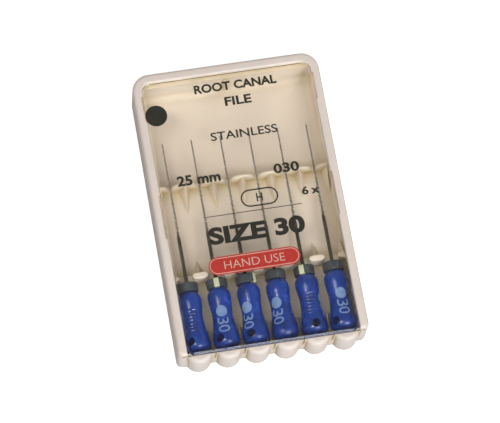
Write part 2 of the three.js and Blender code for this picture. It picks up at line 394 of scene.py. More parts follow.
def recess_cutter(name, half_width, levels):
    """A cutter for the cover's way in, open at the handle end, from (z, inset) pairs."""
    before = -BULGE_DEPTH - 1
    return loft(name, [
        panel(half_width, before, RECESS_END, SHARP_CORNER_RADIUS, RECESS_CORNER_RADIUS, z, inset)
        for z, inset in levels])


def tray_cutters():
    above = TRAY_HEIGHT + 1
    recess = recess_cutter("recess", LIP_HALF_WIDTH, [
        (LEDGE_Z, 0), (TRAY_HEIGHT - LIP_FLARE, 0), (TRAY_HEIGHT, -LIP_FLARE), (above, -1)])
    groove = recess_cutter("groove", GROOVE_HALF_WIDTH, [(LEDGE_Z, 0), (LIP_Z, 0)])
    cavity_levels = foot_levels(FLOOR_Z, FLOOR_FILLET, 4) + [(LEDGE_Z + 0.1, 0)]
    cavity = loft("cavity", [
        panel(CAVITY_HALF_WIDTH, CAVITY_START, CAVITY_END, CAVITY_START_RADIUS, CAVITY_END_RADIUS, z, inset)
        for z, inset in cavity_levels])
    notches = [
        block("notch", NOTCH_HALF_WIDTH, start, end, LIP_Z - 0.1, above) for start, end in LIP_NOTCHES]
    valleys = [valley(x) for x in GAP_XS]
    valleys += [valley(x, END_VALLEY_SIZE) for x in (-LIP_HALF_WIDTH, LIP_HALF_WIDTH)]
    return [recess, groove, cavity, *notches, *valleys]


def cradle_height(x):
    """The height of the scalloped bar under the handles: round troughs between soft ridges."""
    nearest = min(abs(x - axis.x) for axis in FILE_AXES.values())
    if nearest >= CRADLE_RADIUS:
        return CRADLE_TOP_Z
    trough = FILE_AXIS_Z - math.sqrt(CRADLE_RADIUS ** 2 - nearest ** 2)
    share = max(CRADLE_SOFTNESS - abs(trough - CRADLE_TOP_Z), 0) / CRADLE_SOFTNESS
    return min(trough, CRADLE_TOP_Z) - share ** 2 * CRADLE_SOFTNESS / 4


def ridge(name, columns, height, stations):
    """A low wall right across the tray: height(x) less each station's drop, for (d, drop) stations."""
    xs = [INNER_HALF_WIDTH * (2 * k / columns - 1) for k in range(columns + 1)]
    return loft(name, [
        [(-INNER_HALF_WIDTH, d, EMBED_Z)]
        + [(x, d, height(x) - drop) for x in xs]
        + [(INNER_HALF_WIDTH, d, EMBED_Z)]
        for d, drop in stations])


def cradles():
    return ridge("cradles", 240, cradle_height, [
        (CAVITY_START - 0.2, 0), (CRADLE_END - 0.22, 0), (CRADLE_END - 0.08, 0.05), (CRADLE_END, 0.2)])


def across_tray(name, outline):
    """A (d, z) outline drawn out right across the tray."""
    return loft(name, [[(x, d, z) for d, z in outline] for x in (-INNER_HALF_WIDTH, INNER_HALF_WIDTH)])


def plateau():
    """The raised floor between the two combs, with a rounded edge at its tip end."""
    end_round = reversed(fillet_levels(PLATEAU_Z, PLATEAU_EDGE, 3))
    outline = [(PLATEAU_START, EMBED_Z), (PLATEAU_START, PLATEAU_Z)]
    outline += [(PLATEAU_END - inset, z) for z, inset in end_round]
    outline.append((PLATEAU_END, EMBED_Z))
    return across_tray("plateau", outline)


def comb_wall():
    """The low wall that the stoppers lie against, with a rounded top edge."""
    side = fillet_levels(COMB_NOTCH_Z, COMB_EDGE, 3)
    outline = [(COMB_START, EMBED_Z)]
    outline += [(COMB_START + inset, z) for z, inset in side]
    outline += [(COMB_END - inset, z) for z, inset in reversed(side)]
    outline.append((COMB_END, EMBED_Z))
    return across_tray("comb_wall", outline)


def within_wall(x):
    """x, kept inside the outer faces of the long walls."""
    return max(min(x, WALL_EMBED_X), -WALL_EMBED_X)


def squared(value):
    """A cosine or sine drawn towards 1 or -1, which makes a circle's corners fuller."""
    return math.copysign(abs(value) ** 0.6, value)


def post(x):
    """A post of the comb: a full oval in plan, with a rounded top."""
    middle = (COMB_START + COMB_END) / 2
    steps = 28
    rings = []
    for z, inset in [(EMBED_Z, 0)] + fillet_levels(POST_TOP_Z, POST_FILLET, 4):
        ring = []
        for k in range(steps):
            angle = TAU * k / steps
            across = (POST_HALF_WIDTH - inset) * squared(math.cos(angle))
            along = (POST_HALF_DEPTH - inset) * squared(math.sin(angle))
            ring.append((within_wall(x + across), middle + along, z))
        rings.append(ring)
    return loft("post", rings)


def fin(x, width, tall_d, low_d, top_z):
    """A pointed fin on the plateau: a ridge that falls and narrows from tall_d to a point at low_d."""
    stations = 12
    steps = 12
    blunt = 0.12
    rings = []
    for k in range(stations + 1):
        share = k / stations
        d = tall_d + (low_d - tall_d) * share
        height = (top_z - PLATEAU_Z) * (1 - share) ** 1.1 + 0.02
        half_width = width / 2 * (1 - share) ** 0.8 + 0.02
        ring = [(x - half_width, d, EMBED_Z)]
        for m in range(steps + 1):
            across = 2 * m / steps - 1
            fall = (math.hypot(across, blunt) - blunt) / (math.hypot(1, blunt) - blunt)
            ring.append((x + half_width * across, d, PLATEAU_Z + height * (1 - fall) ** 1.2))
        ring.append((x + half_width, d, EMBED_Z))
        rings.append([(within_wall(px), pd, pz) for px, pd, pz in ring])
    return loft("fin", rings)


def tip_comb_height(x):
    """The height of the wall at the tip end of the plateau: an arched tooth between neighbouring blades."""
    nearest = min(abs(x - gap_x) for gap_x in POST_XS) / TOOTH_HALF_WIDTH
    rise = TOOTH_TOP_Z - TIP_COMB_NOTCH_Z
    return TIP_COMB_NOTCH_Z + rise * math.sqrt(max(1 - nearest ** 2, 0))


def tip_comb():
    depth = TIP_COMB_END - TIP_COMB_START
    crown = [(0, 0.3), (0.1, 0.12), (0.3, 0.02), (0.5, 0), (0.7, 0.02), (0.9, 0.12), (1, 0.3)]
    return ridge(
        "tip_comb", 320, tip_comb_height, [(TIP_COMB_START + share * depth, drop) for share, drop in crown])


def tip_rib():
    """The small upright rib in the middle of the tip wall."""
    steps = 8
    outline = []
    for k in range(steps + 1):
        angle = math.pi * k / steps
        outline.append((TIP_RIB_HALF_WIDTH * math.cos(angle), CAVITY_END - TIP_RIB_DEPTH * math.sin(angle)))
    outline += [(-TIP_RIB_HALF_WIDTH, CAVITY_END + 0.1), (TIP_RIB_HALF_WIDTH, CAVITY_END + 0.1)]
    return loft("tip_rib", [[(x, d, z) for x, d in outline] for z in (EMBED_Z, LEDGE_Z - 0.5)])


def ejector_mark(x, d):
    """A shallow round mark on the underside."""
    levels = [(-0.5, EJECTOR_MARK_RADIUS), (EJECTOR_MARK_DEPTH, EJECTOR_MARK_RADIUS - 0.04)]
    return loft("ejector_mark", [
        [(px, pd, z) for px, pd in disc(x, d, radius, 32)] for z, radius in levels])


def build_tray(material):
    tray = combine(tray_block(), [bulge(axis.x) for axis in FILE_AXES.values()], "UNION")
    combine(tray, tray_cutters(), "DIFFERENCE")
    inner = [cradles(), plateau(), comb_wall(), tip_comb(), tip_rib()]
    inner += [post(x) for x in POST_XS]
    fin_xs = [max(min(x, FIN_REACH_X), -FIN_REACH_X) for x in POST_XS]
    inner += [fin(x, POST_FIN_WIDTH, POST_FIN_START, POST_FIN_END, POST_FIN_TOP_Z) for x in fin_xs]
    inner += [fin(x, TOOTH_FIN_WIDTH, TOOTH_FIN_START, TOOTH_FIN_END, TOOTH_FIN_TOP_Z) for x in fin_xs]
    combine(tray, inner, "UNION")
    combine(tray, [ejector_mark(x, d) for x in EJECTOR_MARK_XS for d in EJECTOR_MARK_DS], "DIFFERENCE")
    shade(tray)
    on_case(tray)
    return finished(tray, "case", material, "tray")


# ---------- the cover ----------

def build_cover(clear, end_painted_reflection):
    edge = COVER_EDGE
    levels = [
        (COVER_LOW_Z, TONGUE_HALF_WIDTH, 0, edge),
        (COVER_LOW_Z + edge, TONGUE_HALF_WIDTH, 0, 0),
        (TONGUE_TOP_Z - edge, TONGUE_HALF_WIDTH, 0, 0),
        (TONGUE_TOP_Z, TONGUE_HALF_WIDTH - edge, 0, 0),
        (TONGUE_TOP_Z, COVER_HALF_WIDTH, 0, 0),
        (COVER_TOP_Z - COVER_END_EDGE, COVER_HALF_WIDTH, 0, 0),
        (COVER_TOP_Z, COVER_HALF_WIDTH, COVER_END_EDGE - edge, edge),
    ]
    cover = loft("cover_plate", [
        panel(half_width, start, COVER_END, COVER_CORNER_RADIUS, RECESS_CORNER_RADIUS, z, inset)
        for z, half_width, start, inset in levels])
    shade(cover, 20)
    on_case(cover)
    finished(cover, "cover", clear, "cover")
    # Painted reflection: the end face and its lower edge take the second material, tinted dark navy for the
    # blue handles seen in it.
    cover.data.materials.append(end_painted_reflection)
    for face in cover.data.polygons:
        is_end = face.normal.y < -0.99
        is_lower_end_edge = face.normal.y < -0.3 and face.normal.z < 0
        face.material_index = int(is_end or is_lower_end_edge)
    return cover


# ---------- lettering ----------

def text_mesh(text, weight):
    """Lettering as a flat mesh solid of its own size, weight being how far its strokes are thickened."""
    curve = bpy.data.curves.new("lettering", "FONT")
    curve.body = text
    curve.extrude = 0.05
    curve.offset = weight
    curve.resolution_u = 4
    obj = new_object("lettering", curve)
    depsgraph = bpy.context.evaluated_depsgraph_get()
    mesh = bpy.data.meshes.new_from_object(obj.evaluated_get(depsgraph))
    bpy.data.objects.remove(obj)
    bpy.data.curves.remove(curve)
    bm = bmesh.new()
    bm.from_mesh(mesh)
    bpy.data.meshes.remove(mesh)
    return finish_bmesh("lettering", bm)


def fit_box(obj, low, high):
    """Stretches obj to fill the box from low to high."""
    now_low, now_high = bounds_of(obj)
    for vertex in obj.data.vertices:
        for k in range(3):
            share = (vertex.co[k] - now_low[k]) / (now_high[k] - now_low[k])
            vertex.co[k] = low[k] + share * (high[k] - low[k])
    return obj


def cover_text(name, text, left, right, baseline, cap_height, weight=0.0):
    """Lettering on the cover's top, stretched from left to right and from its baseline to its cap height."""
    obj = text_mesh(text, weight)
    obj.name = name
    return fit_box(obj, (left, baseline, COVER_TOP_Z), (right, baseline + cap_height, INK_TOP_Z))


def oval_outline(middle_x, middle_d, half_width, half_height, inset=0, steps=12):
    """A round-ended bar's outline, as (x, d)."""
    radius = half_height - inset
    reach = half_width - half_height
    points = []
    for side, first in ((1, -90), (-1, 90)):
        for k in range(steps + 1):
            angle = math.radians(first + 180 * k / steps)
            points.append((
                middle_x + side * reach + radius * math.cos(angle), middle_d + radius * math.sin(angle)))
    return points


def flat_shape(name, outline, low=COVER_TOP_Z, high=INK_TOP_Z):
    """A thin solid of ink with that (x, d) outline."""
    return loft(name, [[(x, d, z) for x, d in outline] for z in (low, high)])


def flat_ring(name, outer, inner, low=COVER_TOP_Z, high=INK_TOP_Z):
    """A thin closed band of ink between two outlines with the same number of points."""
    walls = [(outer, low), (outer, high), (inner, high), (inner, low), (outer, low)]
    return loft(name, [[(x, d, z) for x, d in outline] for outline, z in walls], caps=False)


def disc(middle_x, middle_d, radius, steps=48):
    """A circle's outline, as (x, d)."""
    angles = [TAU * k / steps for k in range(steps)]
    return [(middle_x + radius * math.cos(a), middle_d + radius * math.sin(a)) for a in angles]


def build_cover_print(black, red, light):
    oval = (1.8, 23.8, 3.0, 1.45)
    bar = (-0.8, 13.5, 7.3, 1.5)
    black_pieces = [
        cover_text("print_title", "ROOT CANAL", -5.4, 7.9, 42.3, 1.5, 0.034),
        cover_text("print_title_second", "FILE", -0.9, 3.4, 39.65, 1.5, 0.03),
        cover_text("print_steel", "STAINLESS", -4.1, 6.6, 34.1, 1.4, 0.012),
        cover_text("print_length", "25 mm", -10.6, -3.7, 27.35, 1.75, 0.034),
        cover_text("print_size", "030", 4.8, 8.9, 27.2, 1.65, 0.03),
        cover_text("print_count", "6 x", 8.6, 11.4, 23.05, 1.4, 0.034),
        cover_text("print_kind", "H", 1.3, 2.3, 23.1, 1.4, 0.02),
        cover_text("print_size_word", "SIZE 30", -7.2, 8.1, 17.0, 2.9, 0.045),
        flat_shape("print_dot", disc(-12.05, 39.65, 1.75)),
        flat_shape("print_rule", [(-7.1, 21.64), (8.2, 21.64), (8.2, 21.76), (-7.1, 21.76)]),
        flat_ring("print_outline", oval_outline(*oval), oval_outline(*oval, 0.24)),
    ]
    for piece in black_pieces:
        on_case(piece)
        finished(piece, "cover", black)
    banner = flat_shape("print_bar", oval_outline(*bar))
    on_case(banner)
    finished(banner, "cover", red)
    line = [oval_outline(*bar, inset) for inset in (0.2, 0.32)]
    border = flat_ring("print_bar_border", *line, INK_TOP_Z, LIGHT_INK_TOP_Z)
    on_case(border)
    finished(border, "cover", light)
    bar_text = text_mesh("HAND USE", -0.006)
    bar_text.name = "print_bar_text"
    fit_box(bar_text, (-5.6, 12.85, INK_TOP_Z), (4.0, 14.15, LIGHT_INK_TOP_Z))
    on_case(bar_text)
    finished(bar_text, "cover", light)


# ---------- the handles ----------

HANDLE_PROFILE = [
    (0, 1.3), (-0.08, 1.41), (-0.3, 1.55), (-0.8, 1.78), (-1.4, 1.86), (-2.4, 1.78), (-3.65, 1.62),
    (-4.75, 1.62), (-5.95, 1.74), (-7.15, 1.94), (-8.1, 2.09), (-8.75, 2.1), (-9.22, 1.93), (-9.52, 1.62),
    (-HANDLE_LENGTH, 1.2),
]


def handle_radius(s):
    """The handle's radius at s, on a smooth curve through HANDLE_PROFILE."""
    points = HANDLE_PROFILE
    s = max(min(s, points[0][0]), points[-1][0])
    k = next(i for i in range(1, len(points)) if s >= points[i][0])
    before, here = points[max(k - 2, 0)], points[k - 1]
    there, after = points[k], points[min(k + 1, len(points) - 1)]
    span = there[0] - here[0]
    t = (s - here[0]) / span
    slope_here = (there[1] - before[1]) / (there[0] - before[0]) * span
    slope_there = (after[1] - here[1]) / (after[0] - here[0]) * span
    return (
        (2 * t ** 3 - 3 * t ** 2 + 1) * here[1] + (t ** 3 - 2 * t ** 2 + t) * slope_here
        + (3 * t ** 2 - 2 * t ** 3) * there[1] + (t ** 3 - t ** 2) * slope_there)


def rib_height(s, degrees_from_print):
    """The fine cross ribs on both sides of the waist, a quarter turn from the print."""
    if not RIBS_FROM <= s <= RIBS_TO:
        return 0
    side = abs(abs((degrees_from_print + 180) % 360 - 180) - 90)
    reach = max(0, 1 - (side / RIB_HALF_SPREAD) ** 4)
    ends = min(1, (s - RIBS_FROM) / 0.3, (RIBS_TO - s) / 0.3)
    wave = math.cos(TAU * (s - RIBS_FROM) / RIB_SPACING - math.pi) * 0.5 + 0.5
    return RIB_HEIGHT * reach * ends * wave ** 2


def cross_hole():
    """A round bar that lies across the handle, to cut its hole with."""
    reach = 4
    radius = HANDLE_HOLE_RADIUS
    hole = revolve("hole", [(-reach, 0), (-reach, radius), (reach, radius), (reach, 0)], 40)
    turn = Matrix.Rotation(math.pi / 2, 4, "X")
    hole.data.transform(Matrix.Translation((0, HANDLE_HOLE_S, 0)) @ turn)
    return hole


def build_handle(number, material):
    """One skin: out of the bore from its end, over the face, and down the ribbed outside."""
    angles = [TAU * k / 72 for k in range(72)]
    roll_of_print = PRINT_ROLLS[number] - HOLE_ROLLS[number]
    bore = [(-HANDLE_BORE_DEPTH, 0.0), (-HANDLE_BORE_DEPTH, HANDLE_BORE_RADIUS), (0, HANDLE_BORE_RADIUS)]
    rings = []
    for s, radius in bore:
        rings.append([(radius * math.sin(a), s, radius * math.cos(a)) for a in angles])
    steps = 118
    stations = [0, -0.04, -0.08, -0.18]
    stations += [-0.3 - (HANDLE_LENGTH - 0.5) * k / steps for k in range(steps + 1)]
    stations += [-HANDLE_LENGTH + step for step in (0.18, 0.08, 0.03, 0)]
    for s in stations:
        ring = []
        for angle in angles:
            radius = handle_radius(s) + rib_height(s, math.degrees(angle) - roll_of_print)
            ring.append((radius * math.sin(angle), s, radius * math.cos(angle)))
        rings.append(ring)
    rings.append([(0, -HANDLE_LENGTH, 0)] * len(angles))
    handle = loft(f"handle_body_{number}", rings, caps=False)
    combine(handle, [cross_hole()], "DIFFERENCE")
    shade(handle, 40)
    on_file(handle, number, HOLE_ROLLS[number])
    return finished(handle, f"file_{number}", material, f"handle_{number}")


def cut_into_strips(bm, axis, low, high, step):
    """Cuts bm along planes across that axis, so that it can be bent."""
    normal = Vector([float(k == axis) for k in range(3)])
    for k in range(1, int((high - low) / step) + 1):
        point = normal * (low + k * step)
        geometry = list(bm.verts) + list(bm.edges) + list(bm.faces)
        bmesh.ops.bisect_plane(bm, geom=geometry, plane_co=point, plane_no=normal)


def wrap_on_handle(obj):
    """Bends a flat shape, drawn with x along the handle and y round it, on to the handle's surface."""
    low, high = bounds_of(obj)
    bm = bmesh.new()
    bm.from_mesh(obj.data)
    cut_into_strips(bm, 0, low.x, high.x, 0.25)
    cut_into_strips(bm, 1, low.y, high.y, 0.12)
    for vertex in bm.verts:
        s = -vertex.co.x
        is_outer = vertex.co.z > (low.z + high.z) / 2
        radius = handle_radius(s) + (MARK_PROUD if is_outer else -MARK_SUNK)
        angle = vertex.co.y / handle_radius(s)
        vertex.co = Vector((radius * math.sin(angle), s, radius * math.cos(angle)))
    bm.to_mesh(obj.data)
    bm.free()
    return obj


def build_handle_marks(number, material):
    dot = flat_shape(f"handle_dot_{number}", disc(3.95, 0, 0.89, 36), 0, 0.1)
    digits = []
    for digit, left in (("3", 5.0), ("0", 6.32)):
        glyph = text_mesh(digit, 0.0)
        fit_box(glyph, (left, -0.9, 0), (left + 1.15, 0.9, 0.1))
        glyph.name = f"handle_digit_{digit}_{number}"
        digits.append(glyph)
    for mark in (dot, *digits):
        wrap_on_handle(mark)
        shade(mark)
        on_file(mark, number, PRINT_ROLLS[number])
        finished(mark, f"file_{number}", material)


# ---------- the shafts ----------

def blade_radius(s):
    """The outer radius of the blade, with its shank, and a short cone at the tip."""
    if s < FLUTE_START:
        return SHANK_RADIUS
    blend = min((s - FLUTE_START) / 0.8, 1)
    radius = TIP_RADIUS + (BLADE_LENGTH - s) * RADIUS_TAPER
    radius = SHANK_RADIUS + (radius - SHANK_RADIUS) * blend
    return radius * min(1, 0.25 + (BLADE_LENGTH - s) / 0.5)


def blade_turns():
    """Where each turn of the helix starts along s: wide turns on the shank, and fine ones on the blade."""
    starts = []
    s = -TANG_LENGTH - 1.2
    while s < BLADE_LENGTH + 1:
        starts.append(s)
        if s < FLUTE_START - 0.6:
            s += 1.6
        else:
            share = min(max((s - FLUTE_START) / (BLADE_LENGTH - FLUTE_START), 0), 1)
            s += 0.85 - 0.25 * share
    return starts


def build_shaft(number, material):
    """One skin whose rows climb the helix, so that each cutting edge is a clean step."""
    starts = blade_turns()
    columns = 20
    rows_per_turn = 6
    turns = len(starts) - 2
    bm = bmesh.new()
    rows = []
    for row in range(turns * rows_per_turn + 1):
        points = []
        for k in range(columns):
            along = row / rows_per_turn + k / columns
            turn = int(along)
            s = starts[turn] + (starts[turn + 1] - starts[turn]) * (along - turn)
            depth = min(max((s - FLUTE_START + 0.3) / 0.6, 0), 1) * (1 - FLUTE_CORE)
            share = (row % rows_per_turn) / (rows_per_turn - 1)
            radius = blade_radius(min(s, BLADE_LENGTH)) * (1 - depth * share ** 0.8)
            angle = TAU * k / columns
            points.append(bm.verts.new((radius * math.sin(angle), s, radius * math.cos(angle))))
        rows.append(points)
    for row in range(len(rows) - rows_per_turn - 1):
        for k in range(columns):
            if k + 1 < columns:
                after, after_above = rows[row][k + 1], rows[row + 1][k + 1]
            else:
                after, after_above = rows[row + rows_per_turn][0], rows[row + rows_per_turn + 1][0]
            bm.faces.new((rows[row][k], after, after_above, rows[row + 1][k]))
    for end, normal in ((-TANG_LENGTH, (0, -1, 0)), (BLADE_LENGTH, (0, 1, 0))):
        geometry = list(bm.verts) + list(bm.edges) + list(bm.faces)
        cut = bmesh.ops.bisect_plane(
            bm, geom=geometry, plane_co=(0, end, 0), plane_no=normal, clear_outer=True)
        edges = [item for item in cut["geom_cut"] if isinstance(item, bmesh.types.BMEdge)]
        bmesh.ops.contextual_create(bm, geom=edges)
    shaft = finish_bmesh(f"shaft_body_{number}", bm)
    shade(shaft, 50)
    on_file(shaft, number, HOLE_ROLLS[number])
    return finished(shaft, f"file_{number}", material, f"shaft_{number}")


# ---------- the stoppers ----------

def stopper_profile():
    """(s, radius) points over the stopper's outside, with rounded edges and a slight waist."""
    rounds = fillet_levels(STOPPER_RADIUS, STOPPER_EDGE)
    profile = [(STOPPER_START, STOPPER_BORE_RADIUS)]
    profile += [(STOPPER_START + step, radius) for radius, step in rounds]
    profile.append(((STOPPER_START + STOPPER_END) / 2, STOPPER_RADIUS - STOPPER_WAIST))
    profile += [(STOPPER_END - step, radius) for radius, step in reversed(rounds)]
    profile.append((STOPPER_END, STOPPER_BORE_RADIUS))
    return profile


def build_stopper(number, material):
    """A ring with a bore through it, closed along its bore by the profile's first point again."""
    profile = stopper_profile()
    stopper = revolve(f"stopper_body_{number}", [*profile, profile[0]], 64)
    shade(stopper)
    on_file(stopper, number)
    return finished(stopper, f"stopper_{number}", material, f"stopper_{number}")


def build_stripe(number, material):
    """The pale stripe let into the stopper: a bar through its thickness, a hair proud of it."""
    middle = (STOPPER_START + STOPPER_END) / 2
    outer = []
    for s, radius in stopper_profile()[1:-1]:
        is_on_face = radius < STOPPER_RADIUS - 0.1
        lift = math.copysign(STRIPE_PROUD, s - middle) if is_on_face else 0
        outer.append((s + lift, radius + STRIPE_PROUD))
    sections = []
    for k in range(7):
        x = STRIPE_HALF_WIDTH * (k / 3 - 1)
        fall = STOPPER_RADIUS - math.sqrt(STOPPER_RADIUS ** 2 - x ** 2)
        sections.append([
            (x, STOPPER_START - STRIPE_PROUD, STRIPE_INNER_RADIUS),
            *[(x, s, radius - fall) for s, radius in outer],
            (x, STOPPER_END + STRIPE_PROUD, STRIPE_INNER_RADIUS)])
    stripe = loft(f"stopper_stripe_{number}", sections)
    shade(stripe)
    on_file(stripe, number, STRIPE_ROLLS[number])
    return finished(stripe, f"stopper_{number}", material)


# ---------- materials ----------

IVORY_DARK = (0.69, 0.6, 0.53)
IVORY_LIGHT = (0.73, 0.642, 0.575)
# Painted shade: the olive colour below is painted into the case's corners and creases, over the reach below
# in mm.
PAINTED_SHADE_COLOUR = (0.48, 0.36, 0.15)
PAINTED_SHADE_REACH = 2.4
# Painted reflection: the steel tones below stand for how it reflects, a dark shank and a blade flecked with
# painted glints.
SHANK_DARK = (0.1, 0.085, 0.07)
SHANK_LIGHT = (0.27, 0.24, 0.21)
BLADE_DARK = (0.24, 0.21, 0.18)
BLADE_LIGHT = (0.78, 0.73, 0.67)
CLEAR_SHADOW = (0.8, 0.785, 0.73)
CLEAR_DEPTH = (0.55, 0.6, 0.62)
CLEAR_DENSITY = 60.0


def node_material(name):
    """A new material, its Principled shader, and functions that add a node and link two sockets."""
    material = bpy.data.materials.new(name)
    material.use_nodes = True
    tree = material.node_tree

    def add(kind, **values):
        node = tree.nodes.new(kind)
        for key, value in values.items():
            if key in node.inputs:
                node.inputs[key].default_value = value
            else:
                setattr(node, key, value)
        return node

    return material, tree.nodes["Principled BSDF"], add, tree.links.new


def two_tone(add, link, source, dark, light):
    """The colour output of a ramp from dark to light over the middle of a noise's range."""
    ramp = add("ShaderNodeValToRGB")
    for element, position, colour in zip(ramp.color_ramp.elements, (0.3, 0.7), (dark, light)):
        element.position = position
        element.color = (*colour, 1)
    link(source, ramp.inputs["Fac"])
    return ramp.outputs["Color"]


def vary_gloss(add, link, source, shader, low, high):
    """Lets a noise move the shader's roughness between low and high."""
    gloss = add("ShaderNodeMapRange", **{"To Min": low, "To Max": high})
    link(source, gloss.inputs["Value"])
    link(gloss.outputs["Result"], shader.inputs["Roughness"])


def raise_grain(add, link, source, shader, strength, distance):
    """Lets a noise raise the surface a little."""
    relief = add("ShaderNodeBump", Strength=strength, Distance=distance)
    link(source, relief.inputs["Height"])
    link(relief.outputs["Normal"], shader.inputs["Normal"])


def mottled(name, dark, light, roughness, cloud=300, grain=9000, bump=0.15, **shader_values):
    """A moulded or printed surface: cloudy colour, uneven gloss and a fine grain."""
    material, shader, add, link = node_material(name)
    place = add("ShaderNodeTexCoord").outputs["Object"]
    clouds = add("ShaderNodeTexNoise", Scale=cloud, Detail=4.0, Roughness=0.55)
    link(place, clouds.inputs["Vector"])
    fine = add("ShaderNodeTexNoise", Scale=grain, Detail=3.0)
    link(place, fine.inputs["Vector"])
    spread = 0.06
    link(two_tone(add, link, clouds.outputs["Fac"], dark, light), shader.inputs["Base Color"])
    vary_gloss(add, link, clouds.outputs["Fac"], shader, roughness - spread, roughness + spread)
    raise_grain(add, link, fine.outputs["Fac"], shader, bump, 0.00003)
    for key, value in shader_values.items():
        shader.inputs[key.replace("_", " ")].default_value = value
    return material


def ivory_plastic():
    """Moulded ivory with painted shade: its corners and creases are painted a darker olive colour, by how
    hemmed in each point is.
    """
    material = mottled(
        "ivory_plastic", IVORY_DARK, IVORY_LIGHT, 0.42, cloud=140, grain=5000, bump=0.12,
        Subsurface_Weight=0.12, Subsurface_Radius=(1.0, 0.7, 0.45), Subsurface_Scale=0.0006)
    tree = material.node_tree
    shader = tree.nodes["Principled BSDF"]
    outer = shader.inputs["Base Color"].links[0].from_socket
    # Painted shade: ambient occlusion of the case alone mixes the olive shade colour into its corners and
    # creases.
    corners = tree.nodes.new("ShaderNodeAmbientOcclusion")
    corners.samples = 8
    corners.only_local = True
    corners.inputs["Distance"].default_value = PAINTED_SHADE_REACH * MM
    share = tree.nodes.new("ShaderNodeMapRange")
    share.inputs["From Min"].default_value = 0.3
    share.inputs["From Max"].default_value = 0.92
    mix = tree.nodes.new("ShaderNodeMix")
    mix.data_type = "RGBA"
    mix.inputs["A"].default_value = (*PAINTED_SHADE_COLOUR, 1)
    tree.links.new(corners.outputs["AO"], share.inputs["Value"])
    tree.links.new(share.outputs["Result"], mix.inputs["Factor"])
    tree.links.new(outer, mix.inputs["B"])
    tree.links.new(mix.outputs["Result"], shader.inputs["Base Color"])
    return material


def blue_plastic():
    return mottled(
        "blue_plastic", (0.002, 0.024, 0.2), (0.004, 0.05, 0.38), 0.26, cloud=520, grain=7000, bump=0.1,
        Subsurface_Weight=0.15, Subsurface_Radius=(0.1, 0.25, 1.0), Subsurface_Scale=0.0004,
        Specular_IOR_Level=0.5, Coat_Weight=0.6, Coat_Roughness=0.16)


def grey_silicone():
    return mottled(
        "grey_silicone", (0.03, 0.038, 0.05), (0.05, 0.06, 0.078), 0.6, cloud=900, grain=14000, bump=0.3)


def ink(name, dark, light, roughness=0.45):
    return mottled(
        name, dark, light, roughness, cloud=1500, grain=16000, bump=0.08, Specular_IOR_Level=0.3)


def steel():
    """Stainless steel with fine marks round the shaft, and painted reflection: the shank is painted dark,
    and the blade brighter, flecked with painted glints.
    """
    material, shader, add, link = node_material("steel")
    place = add("ShaderNodeTexCoord").outputs["Object"]
    stretch = add("ShaderNodeMapping", Scale=(1, 9, 1))
    link(place, stretch.inputs["Vector"])
    marks = add("ShaderNodeTexNoise", Scale=4000, Detail=5.0, Roughness=0.6)
    link(stretch.outputs["Vector"], marks.inputs["Vector"])
    split = add("ShaderNodeSeparateXYZ")
    link(place, split.inputs["Vector"])
    flute_start_y = FILE_AXES[1].y + FLUTE_START
    ground = add("ShaderNodeMapRange", **{
        "From Min": (flute_start_y - 0.3) * MM,
        "From Max": (flute_start_y + 1.5) * MM})
    link(split.outputs["Y"], ground.inputs["Value"])
    # Painted reflection: the shank takes the dark tones and the blade the bright ones.
    mix = add("ShaderNodeMix", data_type="RGBA")
    link(ground.outputs["Result"], mix.inputs["Factor"])
    link(two_tone(add, link, marks.outputs["Fac"], SHANK_DARK, SHANK_LIGHT), mix.inputs["A"])
    link(two_tone(add, link, marks.outputs["Fac"], BLADE_DARK, BLADE_LIGHT), mix.inputs["B"])
    link(mix.outputs["Result"], shader.inputs["Base Color"])
    vary_gloss(add, link, marks.outputs["Fac"], shader, 0.16, 0.36)
    raise_grain(add, link, marks.outputs["Fac"], shader, 0.2, 0.00002)
    shader.inputs["Metallic"].default_value = 1
    return material


def clear_plastic(name, tint, roughness):
    """Clear plastic that lets light through to what it covers."""
    material, shader, add, link = node_material(name)
    shader.inputs["Base Color"].default_value = (*tint, 1)
    shader.inputs["Transmission Weight"].default_value = 1
    shader.inputs["IOR"].default_value = 1.49
    place = add("ShaderNodeTexCoord")
    smears = add("ShaderNodeTexNoise", Scale=180, Detail=3.0)
    link(place.outputs["Object"], smears.inputs["Vector"])
    vary_gloss(add, link, smears.outputs["Fac"], shader, roughness * 0.4, roughness * 1.6)
    path = add("ShaderNodeLightPath")
    clear = add("ShaderNodeBsdfTransparent", Color=(*CLEAR_SHADOW, 1))
    mix = add("ShaderNodeMixShader")
    link(path.outputs["Is Shadow Ray"], mix.inputs["Fac"])
    link(shader.outputs["BSDF"], mix.inputs[1])
    link(clear.outputs["BSDF"], mix.inputs[2])
    output = material.node_tree.nodes["Material Output"]
    link(mix.outputs["Shader"], output.inputs["Surface"])
    depth = add("ShaderNodeVolumeAbsorption", Density=CLEAR_DENSITY, Color=(*CLEAR_DEPTH, 1))
    link(depth.outputs["Volume"], output.inputs["Volume"])
    return material


# ---------- camera, floor and light ----------

CAMERA_AZIMUTH = math.radians(19.64)
CAMERA_ELEVATION = math.radians(71.05)
CAMERA_ROLL = math.radians(-10.23)
CAMERA_DISTANCE = 475.05
CAMERA_TARGET = Vector((0.30, -0.15, 3.5))
CAMERA_LENS = 216
CAMERA_SENSOR = 36

KEY_STRENGTH = 1.16
TOP_STRENGTH = 1.03
FRONT_STRENGTH = 1.65
WORLD_HORIZON = 0.62
WORLD_ZENITH = 0.16
WORLD_LEFT_SHARE = 0.4
FLOOR_GLOW = 0.6
FLOOR_BOUNCE = 0.5
FLOOR_HALF_SIZE = 3000
FLOOR_GAP = 0.02


